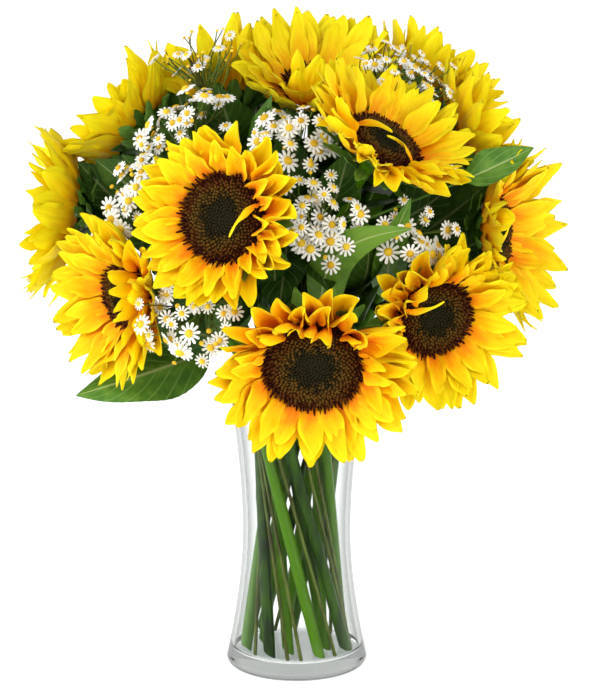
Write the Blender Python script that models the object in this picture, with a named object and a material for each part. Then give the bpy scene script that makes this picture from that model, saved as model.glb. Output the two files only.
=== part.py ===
"""Sunflowers and feverfew standing in a flared glass vase.

Units are metres, +Z is up, the origin is the centre of the vase's flat underside, and the
bouquet's front faces -Y. Every flower is a stem with its green receptacle, a ring of petals
and a disk. The stems cross in a hand-tied spiral and stand on the vase's floor.
"""
import math

import bmesh
import bpy
import numpy as np
from mathutils import Matrix, Vector

# Running gap between pieces that touch.
GAP = 0.0003

# Vase: a flared cylinder of thick clear glass with a waist.
VASE_HEIGHT = 0.210
VASE_WAIST_HEIGHT = 0.105
VASE_WAIST_RADIUS = 0.0414
VASE_BASE_FLARE = 0.0142
VASE_BASE_POWER = 1.7
VASE_RIM_FLARE = 0.0088
VASE_RIM_POWER = 1.8
VASE_WALL = 0.0038
VASE_FLOOR = 0.012
VASE_HEEL_RADIUS = 0.006
VASE_FLOOR_FILLET = 0.0045
VASE_SEGMENTS = 32
VASE_WALL_STEPS = 8

# Hand-tied spiral: stems are straight lines from the floor to the tie height.
TIE_HEIGHT = 0.222
SPIRAL_TURN = 92.0
SPIRAL_START = 30.0
OUTER_TIE_RADIUS = 0.037
INNER_TIE_RADIUS = 0.0225
OUTER_FOOT_RADIUS = 0.0415
INNER_FOOT_RADIUS = 0.0260
STEM_RADIUS = 0.0045
STALK_RADIUS = 0.0015
STEM_SECTOR = 26.0
STALK_SECTOR = 14.0
TUBE_SIDES = 8
STRAIGHT_STEPS = 3
CURVE_STEPS = 7

# Flower heads.
HEAD_SIDES = 20
PETAL_CUP = math.radians(40)
PETAL_RING_BELOW = 0.003
PETAL_RING_ABOVE = 0.002
PETAL_NOTCH = 0.90
PETAL_MIN_REACH = 0.006
DISK_DOME = 0.007
RECEPTACLE_DEPTH = 0.022
# Receptacle outline: share of its depth behind the disk, share of the disk's radius.
RECEPTACLE_OUTLINE = ((1.00, None), (0.72, 0.36), (0.36, 0.78), (0.12, 0.95), (0.0, 0.93))

# number, centre of the disk, facing azimuth and elevation in degrees, disk width, head width
HEADS = (
    (1, (0.012, -0.135, 0.267), 269, -20, 0.073, 0.140),
    (2, (-0.051, -0.125, 0.371), 243, 11, 0.065, 0.125),
    (3, (0.062, -0.080, 0.417), 322, 53, 0.057, 0.127),
    (4, (0.100, -0.085, 0.291), 292, -8, 0.058, 0.125),
    (5, (-0.123, -0.070, 0.305), 222, -1, 0.050, 0.122),
    (6, (0.147, -0.030, 0.343), 340, 5, 0.055, 0.135),
    (7, (-0.166, 0.005, 0.350), 178, 5, 0.052, 0.128),
    (8, (-0.118, 0.026, 0.411), 152, 34, 0.052, 0.125),
    (9, (-0.052, 0.040, 0.425), 115, 38, 0.050, 0.126),
    (10, (0.014, 0.015, 0.446), 275, 62, 0.050, 0.120),
    (11, (0.096, 0.066, 0.431), 38, 45, 0.052, 0.125),
    (12, (0.127, 0.002, 0.404), 5, 28, 0.052, 0.125),
    (13, (-0.062, 0.108, 0.335), 118, 4, 0.055, 0.125),
    (14, (0.068, 0.106, 0.335), 58, 4, 0.055, 0.125),
)

# number, centre of the flat top, facing azimuth and elevation, width of the top
SPRAYS = (
    (1, (-0.100, -0.028, 0.446), 200, 60, 0.046),
    (2, (-0.132, -0.060, 0.385), 215, 25, 0.044),
    (3, (-0.088, -0.125, 0.305), 235, 5, 0.044),
    (4, (0.020, -0.118, 0.362), 272, 22, 0.040),
    (5, (0.114, -0.090, 0.360), 310, 20, 0.036),
    (6, (-0.012, -0.062, 0.428), 260, 55, 0.046),
    (7, (0.079, -0.007, 0.467), 350, 70, 0.044),
    (8, (-0.080, -0.010, 0.478), 250, 75, 0.040),
    (9, (0.002, 0.118, 0.400), 90, 35, 0.050),
)
SPRAY_DEPTH = 0.034
# Spray outline: share of its depth behind the flat top, share of the top's radius.
SPRAY_OUTLINE = ((1.0, None), (0.45, 0.62), (0.16, 1.0), (0.0, 0.86))

# The order round the tie: flower heads (h) and feverfew sprays (s), by slot.
OUTER_ORDER = ("h12", "h14", "s9", "h13", "s8", "h7", "s1", "s2", "h5",
               "s3", "h2", "s6", "s4", "h1", "s5", "h4", "h6", "s7")
INNER_ORDER = ("h11", "h10", "h8", "h9", "h3")
INNER_START = 20.0

# Leaf plates: name, the stem that bears it, share of the way up its curved part, tip of the
# leaf, greatest width, rise of its back at mid-length, azimuth and elevation its back faces.
LEAVES = (
    ("leaf_low_left", "h5", 0.30, (-0.162, -0.078, 0.233), 0.045, 0.008, 270, 40),
    ("leaf_front_centre", "h1", 0.42, (0.082, -0.120, 0.368), 0.030, 0.010, 262, 15),
    ("leaf_front_right", "h4", 0.66, (0.082, -0.104, 0.388), 0.026, 0.008, 285, 10),
    ("leaf_right_high", "h3", 0.70, (0.172, -0.066, 0.417), 0.028, 0.008, 290, 45),
    ("leaf_top", "h9", 0.78, (-0.018, -0.041, 0.449), 0.022, 0.006, 262, 50),
    ("leaf_back_left", "h7", 0.45, (-0.128, 0.100, 0.372), 0.046, 0.012, 130, 40),
    ("leaf_back_right", "h6", 0.40, (0.158, 0.082, 0.318), 0.048, 0.012, 30, 45),
    ("leaf_back_low", "h13", 0.40, (0.004, 0.150, 0.282), 0.046, 0.014, 90, 40),
)
LEAF_THICKNESS = 0.0016
LEAF_STAND_OFF = 0.0008
LEAF_STEPS = 9
LEAF_STALK_SHARE = 0.16
LEAF_STALK_WIDTH = 0.003

COLOURS = {
    "glass": ((0.90, 0.94, 0.93, 1.0), 0.05),
    "stem": ((0.17, 0.36, 0.06, 1.0), 0.55),
    "petal": ((0.95, 0.66, 0.02, 1.0), 0.60),
    "disk": ((0.07, 0.035, 0.015, 1.0), 0.90),
    "leaf": ((0.12, 0.27, 0.06, 1.0), 0.60),
    "spray": ((0.80, 0.80, 0.62, 1.0), 0.70),
}


def material(name, finish):
    """One Principled material for one sub-part."""
    colour, roughness = COLOURS[finish]
    made = bpy.data.materials.new(name)
    made.use_nodes = True
    shader = made.node_tree.nodes["Principled BSDF"]
    shader.inputs["Base Color"].default_value = colour
    shader.inputs["Roughness"].default_value = roughness
    shader.inputs["Metallic"].default_value = 0.0
    return made


def add_object(name, mesh, finish, place=None):
    """Puts a mesh in the scene under the bouquet's empty, with its own material."""
    mesh.materials.append(material(name, finish))
    mesh.shade_smooth()
    mesh.set_sharp_from_angle(angle=math.radians(40))
    made = bpy.data.objects.new(name, mesh)
    bpy.context.collection.objects.link(made)
    made.parent = bpy.data.objects["bouquet"]
    if place is not None:
        made.location = place.to_translation()
        made.rotation_euler = place.to_euler()
    return made


def skin(name, rings):
    """Closes a row of rings, each an array of points going the same way round, into one solid."""
    bm = bmesh.new()
    rows = [[bm.verts.new(point) for point in ring] for ring in rings]
    count = len(rows[0])
    for low, high in zip(rows, rows[1:]):
        for i in range(count):
            j = (i + 1) % count
            bm.faces.new((low[i], low[j], high[j], high[i]))
    bm.faces.new(tuple(reversed(rows[0])))
    bm.faces.new(tuple(rows[-1]))
    bmesh.ops.recalc_face_normals(bm, faces=bm.faces)
    mesh = bpy.data.meshes.new(name)
    bm.to_mesh(mesh)
    bm.free()
    return mesh


def loop_solid(name, sections):
    """Closes a ring of sections, each a closed outline, into one solid like a tyre."""
    bm = bmesh.new()
    rows = [[bm.verts.new(point) for point in section] for section in sections]
    count = len(rows[0])
    for k, row in enumerate(rows):
        following = rows[(k + 1) % len(rows)]
        for i in range(count):
            j = (i + 1) % count
            bm.faces.new((row[i], row[j], following[j], following[i]))
    bmesh.ops.recalc_face_normals(bm, faces=bm.faces)
    mesh = bpy.data.meshes.new(name)
    bm.to_mesh(mesh)
    bm.free()
    return mesh


def direction(azimuth, elevation):
    """Unit vector for an azimuth from +X towards +Y and an elevation, both in degrees."""
    a, e = math.radians(azimuth), math.radians(elevation)
    return np.array((math.cos(e) * math.cos(a), math.cos(e) * math.sin(a), math.sin(e)))


def head_frame(centre, axis):
    """Placement whose +Z is the flower's axis."""
    turn = Vector(axis).to_track_quat("Z", "Y")
    return Matrix.Translation(Vector(centre)) @ turn.to_matrix().to_4x4()


# ---------------------------------------------------------------- vase


def vase_outer_radius(z):
    """Outer radius: a power of the distance from the waist, one below it and one above it."""
    if z < VASE_WAIST_HEIGHT:
        share = (VASE_WAIST_HEIGHT - z) / VASE_WAIST_HEIGHT
        return VASE_WAIST_RADIUS + VASE_BASE_FLARE * share ** VASE_BASE_POWER
    share = (z - VASE_WAIST_HEIGHT) / (VASE_HEIGHT - VASE_WAIST_HEIGHT)
    return VASE_WAIST_RADIUS + VASE_RIM_FLARE * share ** VASE_RIM_POWER


def arc(centre, radius, start, stop, steps):
    """Points of an arc in the profile's plane."""
    angles = np.radians(np.linspace(start, stop, steps))
    return [(centre[0] + radius * math.cos(a), centre[1] + radius * math.sin(a)) for a in angles]


def vase_profile():
    """Half outline of the glass, from the axis under the floor round to the axis above it."""
    heel_centre = (vase_outer_radius(VASE_HEEL_RADIUS) - VASE_HEEL_RADIUS, VASE_HEEL_RADIUS)
    lip = VASE_WALL / 2
    lip_height = VASE_HEIGHT - lip
    lip_centre = (vase_outer_radius(lip_height) - lip, lip_height)
    outside = np.linspace(2 * VASE_HEEL_RADIUS, lip_height, VASE_WALL_STEPS + 1)[:-1]
    fillet_z = VASE_FLOOR + VASE_FLOOR_FILLET
    fillet_x = vase_outer_radius(fillet_z) - VASE_WALL - VASE_FLOOR_FILLET
    inside = np.linspace(lip_height, fillet_z, VASE_WALL_STEPS + 1)[1:-1]
    points = [(0.0, 0.0)]
    points += arc(heel_centre, VASE_HEEL_RADIUS, -90, 0, 4)
    points += [(vase_outer_radius(z), z) for z in outside]
    points += arc(lip_centre, lip, 0, 180, 5)
    points += [(vase_outer_radius(z) - VASE_WALL, z) for z in inside]
    points += arc((fillet_x, fillet_z), VASE_FLOOR_FILLET, 0, -90, 4)
    points += [(0.0, VASE_FLOOR)]
    return points


def build_vase():
    """Turns the profile about the axis."""
    bm = bmesh.new()
    outline = [bm.verts.new((x, 0.0, z)) for x, z in vase_profile()]
    edges = [bm.edges.new(pair) for pair in zip(outline, outline[1:])]
    bmesh.ops.spin(bm, geom=outline + edges, cent=(0, 0, 0), axis=(0, 0, 1),
                   angle=math.tau, steps=VASE_SEGMENTS, use_merge=True)
    bmesh.ops.remove_doubles(bm, verts=bm.verts, dist=0.00001)
    bmesh.ops.recalc_face_normals(bm, faces=bm.faces)
    mesh = bpy.data.meshes.new("glass_vase")
    bm.to_mesh(mesh)
    bm.free()
    add_object("glass_vase", mesh, "glass")


# ---------------------------------------------------------------- routes of the stems


def slot_azimuths():
    """Azimuth of each stem at the tie: the outer ones share the circle by their thickness."""
    slots = {}
    turned = SPIRAL_START
    for key in OUTER_ORDER:
        sector = STEM_SECTOR if key[0] == "h" else STALK_SECTOR
        slots[key] = turned + sector / 2
        turned += sector
    for number, key in enumerate(INNER_ORDER):
        slots[key] = INNER_START + number * 360.0 / len(INNER_ORDER)
    return slots


def straight_line(key, thickness, slot):
    """Foot and tie point of one stem of the spiral, the foot just clear of the vase's floor."""
    inner = key in INNER_ORDER
    tie_radius = INNER_TIE_RADIUS if inner else OUTER_TIE_RADIUS
    foot_radius = INNER_FOOT_RADIUS if inner else OUTER_FOOT_RADIUS
    tie = tie_radius * direction(slot, 0) + np.array((0, 0, TIE_HEIGHT))
    foot = foot_radius * direction(slot + SPIRAL_TURN, 0) + np.array((0, 0, VASE_FLOOR))
    along = (tie - foot) / np.linalg.norm(tie - foot)
    lift = GAP + thickness * math.sqrt(1 - along[2] ** 2)
    return foot + np.array((0, 0, lift)), tie


def hermite(start, start_pull, end, end_pull, steps):
    """Points of a cubic from start to end with the given end directions, start left out."""
    t = np.linspace(0, 1, steps + 1)[1:, None]
    return ((2 * t**3 - 3 * t**2 + 1) * start + (t**3 - 2 * t**2 + t) * start_pull
            + (3 * t**2 - 2 * t**3) * end + (t**3 - t**2) * end_pull)


def route(key, thickness, slot, end, axis):
    """A stem's centre line: the straight part in the vase, then a curve up to its flower."""
    foot, tie = straight_line(key, thickness, slot)
    low = foot + (tie - foot) * np.linspace(0, 1, STRAIGHT_STEPS + 1)[:, None]
    pull = np.linalg.norm(end - tie)
    along = (tie - foot) / np.linalg.norm(tie - foot)
    high = hermite(tie, along * pull, end, axis * pull, CURVE_STEPS)
    return np.vstack((low, high))


def frames(points, last):
    """Tangent and two cross directions at each point, carried along without twist."""
    steps = np.diff(points, axis=0)
    steps /= np.linalg.norm(steps, axis=1)[:, None]
    tangents = np.vstack((steps[:1], steps[:-1] + steps[1:], last[None, :]))
    tangents /= np.linalg.norm(tangents, axis=1)[:, None]
    side = np.cross(tangents[0], (0.0, 1.0, 0.0))
    result = []
    for tangent in tangents:
        side = side - tangent * np.dot(side, tangent)
        side /= np.linalg.norm(side)
        result.append((side, np.cross(tangent, side)))
    return result


def tube_rings(points, radii, last):
    """Rings round a centre line; a radius may be one number or one for each side."""
    angles = np.arange(TUBE_SIDES) * math.tau / TUBE_SIDES
    rings = []
    for point, radius, (u, v) in zip(points, radii, frames(points, last)):
        spokes = np.cos(angles)[:, None] * u + np.sin(angles)[:, None] * v
        rings.append(point + spokes * np.reshape(radius, (-1, 1)))
    return rings


# ---------------------------------------------------------------- room for each flower


def bloom_seeds():
    """Middle and half width of each flower head and spray."""
    seeds = {}
    for number, centre, azimuth, elevation, _, width in HEADS:
        forward = direction(azimuth, elevation)
        seeds["h%d" % number] = (np.array(centre) + 0.012 * forward, width / 2)
    for number, centre, azimuth, elevation, width in SPRAYS:
        seeds["s%d" % number] = (np.array(centre), width / 2)
    return seeds


def room_limit(key, seeds, start, way):
    """How far one can go from start along way before leaving this flower's own room.

    Each flower keeps to its own side of a plane towards every neighbour. The plane stands
    where the two flowers' spheres, of their half widths, have equal power.
    """
    own, own_half = seeds[key]
    limit = math.inf
    for other, (place, half) in seeds.items():
        if other == key:
            continue
        span = place - own
        distance = np.linalg.norm(span)
        normal = span / distance
        plane = (distance**2 + own_half**2 - half**2) / (2 * distance) - GAP
        speed = float(np.dot(normal, way))
        left = plane - float(np.dot(normal, start - own))
        if speed > 0.001:
            limit = min(limit, left / speed)
    return limit


# ---------------------------------------------------------------- sub-parts of a sunflower


def build_stem(number, key, centre, axis, disk_radius, slot):
    """Stem with the green receptacle that carries the disk."""
    base = centre - axis * GAP
    points = route(key, STEM_RADIUS, slot, base - axis * RECEPTACLE_DEPTH, axis)
    radii = [STEM_RADIUS] * len(points)
    cup = [base - axis * RECEPTACLE_DEPTH * share for share, _ in RECEPTACLE_OUTLINE[1:]]
    radii += [disk_radius * share for _, share in RECEPTACLE_OUTLINE[1:]]
    rings = tube_rings(np.vstack((points, cup)), radii, axis)
    name = "sunflower_%02d_stem" % number
    add_object(name, skin(name, rings), "stem")


def build_disk(number, place, disk_radius):
    """Low dome of florets."""
    angles = np.arange(HEAD_SIDES) * math.tau / HEAD_SIDES
    circle = np.stack((np.cos(angles), np.sin(angles), np.zeros(HEAD_SIDES)), axis=1)
    outline = ((0.0, 1.0), (0.3, 1.0), (0.85, 0.72), (1.0, 0.3))
    rings = [circle * disk_radius * share + (0, 0, DISK_DOME * height)
             for height, share in outline]
    name = "sunflower_%02d_disk" % number
    add_object(name, skin(name, rings), "disk", place)


def build_petals(number, key, place, disk_radius, half_width, seeds):
    """Cupped ring of petals with a notched rim, kept inside this flower's own room."""
    inner = disk_radius + GAP
    slant = (half_width - inner) / math.cos(PETAL_CUP)
    sections = []
    for i in range(HEAD_SIDES):
        angle = math.tau * i / HEAD_SIDES
        spoke = np.array((math.cos(angle), math.sin(angle), 0.0))
        way = spoke * math.cos(PETAL_CUP) + np.array((0, 0, math.sin(PETAL_CUP)))
        low = spoke * inner - np.array((0, 0, PETAL_RING_BELOW))
        high = spoke * inner + np.array((0, 0, PETAL_RING_ABOVE))
        reach = slant * (1.0 if i % 2 == 0 else PETAL_NOTCH)
        for corner in (low, high):
            start = np.array(place @ Vector(corner))
            turned = np.array(place.to_3x3() @ Vector(way))
            reach = min(reach, room_limit(key, seeds, start, turned))
        reach = max(reach, PETAL_MIN_REACH)
        sections.append((low, low + way * reach, high + way * reach, high))
    name = "sunflower_%02d_petals" % number
    add_object(name, loop_solid(name, sections), "petal", place)


def build_sunflower(head, seeds, slots):
    """One flower on its stem."""
    number, centre, azimuth, elevation, disk_width, head_width = head
    key = "h%d" % number
    axis = direction(azimuth, elevation)
    place = head_frame(centre, axis)
    build_stem(number, key, np.array(centre), axis, disk_width / 2, slots[key])
    build_disk(number, place, disk_width / 2)
    build_petals(number, key, place, disk_width / 2, head_width / 2, seeds)


# ---------------------------------------------------------------- feverfew and leaves


def build_spray(spray, seeds, slots):
    """Feverfew: a thin stalk that opens into a flat-topped spray of small flowers."""
    number, centre, azimuth, elevation, width = spray
    key = "s%d" % number
    axis = direction(azimuth, elevation)
    centre = np.array(centre)
    points = route(key, STALK_RADIUS, slots[key], centre - axis * SPRAY_DEPTH, axis)
    crown = [centre - axis * SPRAY_DEPTH * share for share, _ in SPRAY_OUTLINE[1:]]
    path = np.vstack((points, crown))
    angles = np.arange(TUBE_SIDES) * math.tau / TUBE_SIDES
    radii = [STALK_RADIUS] * len(points)
    cross = frames(path, axis)[len(points):]
    for point, (u, v), (_, share) in zip(crown, cross, SPRAY_OUTLINE[1:]):
        spokes = np.cos(angles)[:, None] * u + np.sin(angles)[:, None] * v
        reach = [min(width / 2 * share, room_limit(key, seeds, point, way)) for way in spokes]
        radii.append(np.maximum(reach, 2 * STALK_RADIUS))
    name = "feverfew_spray_%d" % number
    add_object(name, skin(name, tube_rings(path, radii, axis)), "spray")


def stem_point(key, slots, share):
    """A point on a sunflower stem's curved part and the stem's direction there."""
    number, centre, azimuth, elevation, _, _ = HEADS[int(key[1:]) - 1]
    axis = direction(azimuth, elevation)
    end = np.array(centre) - axis * (GAP + RECEPTACLE_DEPTH)
    points = route(key, STEM_RADIUS, slots[key], end, axis)[STRAIGHT_STEPS:]
    index = share * CURVE_STEPS
    low = int(index)
    step = points[low + 1] - points[low]
    return points[low] + step * (index - low), step / np.linalg.norm(step)


def leaf_width(share, width):
    """Half width along a leaf: a narrow stalk, then a pointed oval blade."""
    if share < LEAF_STALK_SHARE:
        return LEAF_STALK_WIDTH / 2
    blade = (share - LEAF_STALK_SHARE) / (1 - LEAF_STALK_SHARE)
    oval = math.sin(math.pi * blade**0.75) ** 0.8 * width / 2
    return max(oval, LEAF_STALK_WIDTH / 2)


def build_leaf(leaf, slots):
    """Thin bent blade that springs from a stem."""
    name, bearer, share, tip, width, rise, azimuth, elevation = leaf
    origin, along = stem_point(bearer, slots, share)
    tip = np.array(tip)
    outward = tip - origin
    outward -= along * np.dot(outward, along)
    outward /= np.linalg.norm(outward)
    start = origin + outward * (STEM_RADIUS + LEAF_STAND_OFF)
    chord = tip - start
    forward = chord / np.linalg.norm(chord)
    side = np.cross(forward, direction(azimuth, elevation))
    side /= np.linalg.norm(side)
    back = np.cross(side, forward)
    rings = []
    for share in np.linspace(0, 1, LEAF_STEPS):
        middle = start + chord * share + back * rise * math.sin(math.pi * share)
        half = leaf_width(share, width) * (0.35 if share == 1 else 1)
        thick = LEAF_THICKNESS / 2
        rings.append((middle + side * half, middle + back * thick,
                      middle - side * half, middle - back * thick))
    add_object(name, skin(name, rings), "leaf")


# ---------------------------------------------------------------- whole bouquet


def main():
    for old in list(bpy.data.objects):
        bpy.data.objects.remove(old)
    root = bpy.data.objects.new("bouquet", None)
    bpy.context.collection.objects.link(root)
    seeds = bloom_seeds()
    slots = slot_azimuths()
    build_vase()
    for head in HEADS:
        build_sunflower(head, seeds, slots)
    for spray in SPRAYS:
        build_spray(spray, seeds, slots)
    for leaf in LEAVES:
        build_leaf(leaf, slots)
    bpy.context.view_layer.update()


main()
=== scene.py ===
"""Looks of a hand-tied bouquet of sunflowers and feverfew in a flared glass vase.

Every shape is a surface worked out as whole arrays: a blade (petal, leaf or bract) is a centre
line with a width across it, a stem is a ring carried along a line, and small flowers are one
template placed many times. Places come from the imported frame.
"""
import math

import bpy
import numpy as np
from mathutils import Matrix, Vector


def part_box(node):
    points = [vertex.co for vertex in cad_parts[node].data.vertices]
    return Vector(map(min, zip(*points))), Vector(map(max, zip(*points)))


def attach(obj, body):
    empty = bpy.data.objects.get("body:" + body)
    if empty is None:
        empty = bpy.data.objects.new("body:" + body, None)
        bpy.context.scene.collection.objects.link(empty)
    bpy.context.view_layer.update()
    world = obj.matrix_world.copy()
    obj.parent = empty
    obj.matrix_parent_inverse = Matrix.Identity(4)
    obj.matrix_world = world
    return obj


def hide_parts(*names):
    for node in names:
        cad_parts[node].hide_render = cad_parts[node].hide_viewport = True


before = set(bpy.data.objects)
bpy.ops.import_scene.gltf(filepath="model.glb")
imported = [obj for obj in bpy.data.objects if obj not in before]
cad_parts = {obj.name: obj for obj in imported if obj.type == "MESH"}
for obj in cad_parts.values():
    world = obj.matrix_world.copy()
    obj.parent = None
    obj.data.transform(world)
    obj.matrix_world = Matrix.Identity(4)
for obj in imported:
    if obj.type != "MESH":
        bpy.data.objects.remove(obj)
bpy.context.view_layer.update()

MM = 0.001
GOLDEN_ANGLE = math.radians(137.508)
BOUQUET_MIDDLE = np.array((0.0, 0.0, 0.30))
TIE_HEIGHT = 0.222
HEAD_COUNT = 14
SPRAY_COUNT = 9
RECEPTACLE_DEPTH = 0.022
PETAL_THICKNESS = 0.0005
LEAF_THICKNESS = 0.0007
SHARP_EDGE = math.radians(80)

# ------------------------------ the frame's shapes


def corners(node):
    """Each corner of a CAD node once, as an array of points."""
    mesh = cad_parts[node].data
    flat = np.empty(len(mesh.vertices) * 3, np.float32)
    mesh.vertices.foreach_get("co", flat)
    return np.unique(np.round(flat.reshape(-1, 3).astype(float), 5), axis=0)


def unit(v):
    """Vectors of length one along the last axis."""
    return v / np.maximum(np.linalg.norm(v, axis=-1, keepdims=True), 1e-12)


def across(axis):
    """Two directions square to an axis and to each other."""
    side = unit(np.cross(axis, (0.0, 0.0, 1.0) if abs(axis[2]) < 0.9 else (0.0, 1.0, 0.0)))
    return side, np.cross(axis, side)


class Head:
    """A flower head read from its CAD disk, petals and stem: middle, axis and sizes."""

    def __init__(self, number):
        self.number = number
        self.name = "sunflower_%02d" % number
        points = corners(self.name + "_disk")
        middle = points.mean(axis=0)
        axis = np.linalg.svd(points - middle)[2][2]
        stem = corners(self.name + "_stem")
        highest = stem[np.argmin(np.linalg.norm(stem - middle, axis=1))]
        if np.dot(middle - highest, axis) < 0:
            axis = -axis
        along = (points - middle) @ axis
        self.axis = axis
        self.centre = middle + axis * along.min()
        flat = points - self.centre
        flat -= np.outer(flat @ axis, axis)
        self.disk = np.linalg.norm(flat, axis=1).max()
        self.side, self.up = across(axis)
        petals = corners(self.name + "_petals") - self.centre
        x, y = petals @ self.side, petals @ self.up
        self.rim_angle = np.arctan2(y, x)
        self.rim_radius = np.hypot(x, y)
        self.reach = self.rim_radius.max()
        self.foot = stem[stem[:, 2] < stem[:, 2].min() + 4 * MM].mean(axis=0)
        self.tie = stem[np.abs(stem[:, 2] - TIE_HEIGHT) < 2.5 * MM].mean(axis=0)

    def room(self, angle):
        """Greatest radius of the CAD ring near each angle."""
        turn = np.cos(self.rim_angle[None, :] - np.ravel(angle)[:, None])
        near = np.where(turn > math.cos(math.radians(14)), self.rim_radius[None, :], 0.0)
        return np.reshape(near.max(axis=1), np.shape(angle))

    def place(self, local):
        """Points given by side, up and axis, put where the head is."""
        basis = np.stack((self.side, self.up, self.axis))
        return self.centre + local @ basis

    def angle_of(self, way):
        """The angle round the head of a direction in the world."""
        return math.atan2(np.dot(way, self.up), np.dot(way, self.side))


# ------------------------------ mesh building


class Builder:
    """Collects batches of closed shapes, with a map and a tone, into one piece."""

    def __init__(self):
        self.points = []
        self.quads = []
        self.caps = []
        self.maps = []
        self.tones_and_painted_light = []
        self.quad_slots = []
        self.cap_slots = []
        self.count = 0

    def loft(self, rings, uv, tone, slot=0, capped=True, ring_closed=False):
        """Adds shapes of n parts, u rings and m points a ring: array (n, u, m, 3).

        Neighbouring rings are joined by four-sided faces; the first and last rings are
        capped, or joined to each other. The faces are turned round if the volume is negative.
        """
        n, u, m, _ = rings.shape
        index = self.count + np.arange(n * u * m).reshape(n, u, m)
        low = index if ring_closed else index[:, :-1]
        high = np.roll(index, -1, axis=1) if ring_closed else index[:, 1:]
        quads = np.stack((low, np.roll(low, -1, axis=2), np.roll(high, -1, axis=2), high), axis=-1)
        quads = quads.reshape(-1, 4)
        caps = [] if ring_closed or not capped else [index[:, 0, ::-1], index[:, -1]]
        flat = rings.reshape(-1, 3)
        a, b, c, d = (flat[quads[:, k] - self.count] for k in range(4))
        middle = flat.mean(axis=0)
        volume = np.einsum("ij,ij->i", np.cross(c - a, d - b), (a + b + c + d) / 4 - middle).sum()
        if volume < 0:
            quads = quads[:, ::-1]
            caps = [cap[:, ::-1] for cap in caps]
        self.points.append(flat)
        self.maps.append(np.broadcast_to(uv, rings.shape[:-1] + (2,)).reshape(-1, 2))
        self.tones_and_painted_light.append(np.broadcast_to(tone, rings.shape[:-1]).reshape(-1))
        self.quads.append(quads)
        self.quad_slots.append(np.full(len(quads), slot))
        for cap in caps:
            self.caps += cap.tolist()
            self.cap_slots += [slot] * len(cap)
        self.count += len(flat)

    def piece(self, name, materials, nodes=()):
        """Makes the object, rides it on the bouquet and hides the CAD nodes it stands for."""
        points = np.concatenate(self.points)
        quads = np.concatenate(self.quads)
        mesh = bpy.data.meshes.new(name)
        mesh.from_pydata(points.tolist(), [], quads.tolist() + self.caps)
        for material in materials:
            mesh.materials.append(material)
        slots = np.concatenate(self.quad_slots + [np.array(self.cap_slots, int)])
        mesh.polygons.foreach_set("material_index", slots.astype(np.int32))
        mesh.polygons.foreach_set("use_smooth", np.ones(len(slots), bool))
        tone = mesh.attributes.new("tone", "FLOAT", "POINT")
        tone.data.foreach_set("value", np.concatenate(self.tones_and_painted_light).astype(np.float32))
        corner = np.empty(len(mesh.loops), np.int32)
        mesh.loops.foreach_get("vertex_index", corner)
        layer = mesh.uv_layers.new(name="blade_map")
        layer.data.foreach_set("uv", np.concatenate(self.maps)[corner].astype(np.float32).ravel())
        mesh.validate()
        mesh.set_sharp_from_angle(angle=SHARP_EDGE)
        made = bpy.data.objects.new(name, mesh)
        bpy.context.scene.collection.objects.link(made)
        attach(made, "root")
        if nodes:
            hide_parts(*nodes)
        return made


def blades(builder, sheet, thickness, tone, slot=0):
    """Adds thin closed blades from middle sheets (n, u, v, 3).

    Each sheet is moved half the thickness along its normal to both sides, less towards its
    two long edges, where both sides meet. The map is (share across, share along).
    """
    _, nu, nv, _ = sheet.shape
    normal = unit(np.cross(np.gradient(sheet, axis=1), np.gradient(sheet, axis=2)))
    v = np.linspace(-1, 1, nv)
    half = thickness / 2 * np.sqrt(np.maximum(1 - v**4, 0))[None, None, :, None]
    top = sheet + normal * half
    bottom = (sheet - normal * half)[:, :, -2:0:-1]
    rings = np.concatenate((top, bottom), axis=2)
    row = np.concatenate((v, v[-2:0:-1])) * 0.5 + 0.5
    u = np.linspace(0, 1, nu)
    uv = np.stack(np.broadcast_arrays(row[None, :], u[:, None]), axis=-1)[None]
    builder.loft(rings, uv, np.reshape(tone, (-1, 1, 1)), slot)


def round_steps(count):
    """Equal angles once round a circle."""
    return np.arange(count) * math.tau / count


def line_frames(line):
    """Tangent, side and cross directions along lines (n, u, 3), carried without twist."""
    tangent = unit(np.gradient(line, axis=1))
    side = np.cross(tangent[:, 0], (0.3, 0.9, 0.1))
    sides = []
    for k in range(line.shape[1]):
        side = unit(side - tangent[:, k] * np.sum(side * tangent[:, k], axis=-1, keepdims=True))
        sides.append(side)
    side = np.stack(sides, axis=1)
    return tangent, side, np.cross(tangent, side)


def tubes(builder, line, radius, sides, tone, slot=0, ribs=0.0, rib_count=7, cut=0.0):
    """Adds tubes: a ring of the given radius (n, u) carried along each line (n, u, 3).

    The first ring is slid up the line on one side, by cut times the tube's width.
    """
    tangent, side, cross = line_frames(line)
    a = round_steps(sides)
    ripple = 1 + ribs * np.cos(rib_count * a)
    circle = (np.cos(a) * ripple)[None, None, :, None] * side[:, :, None]
    circle = circle + (np.sin(a) * ripple)[None, None, :, None] * cross[:, :, None]
    rings = line[:, :, None] + circle * radius[:, :, None, None]
    slide = (1 + np.cos(a))[None, :, None] * radius[:, :1, None] * cut
    rings[:, 0] += slide * tangent[:, :1]
    along = np.linspace(0, 1, line.shape[1])
    uv = np.stack(np.broadcast_arrays((a / math.tau)[None, :], along[:, None]), axis=-1)[None]
    builder.loft(rings, uv, np.reshape(tone, (-1, 1, 1)), slot)


def scatter(builder, rings, centres, ways, sizes, tone, rng, slot=0, closed=False):
    """Adds a small template (u, m, 3), standing along +Z, at many places and directions."""
    side = unit(np.cross(ways, rng.normal(size=ways.shape)))
    cross = np.cross(ways, side)
    basis = np.stack((side, cross, ways), axis=1)
    turned = np.einsum("umk,nkj->numj", rings, basis)
    placed = centres[:, None, None] + turned * np.reshape(sizes, (-1, 1, 1, 1))
    middle = np.array((0.5, 0.5))
    builder.loft(placed, middle, np.reshape(tone, (-1, 1, 1)), slot, ring_closed=closed)


# ------------------------------ materials


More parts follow.
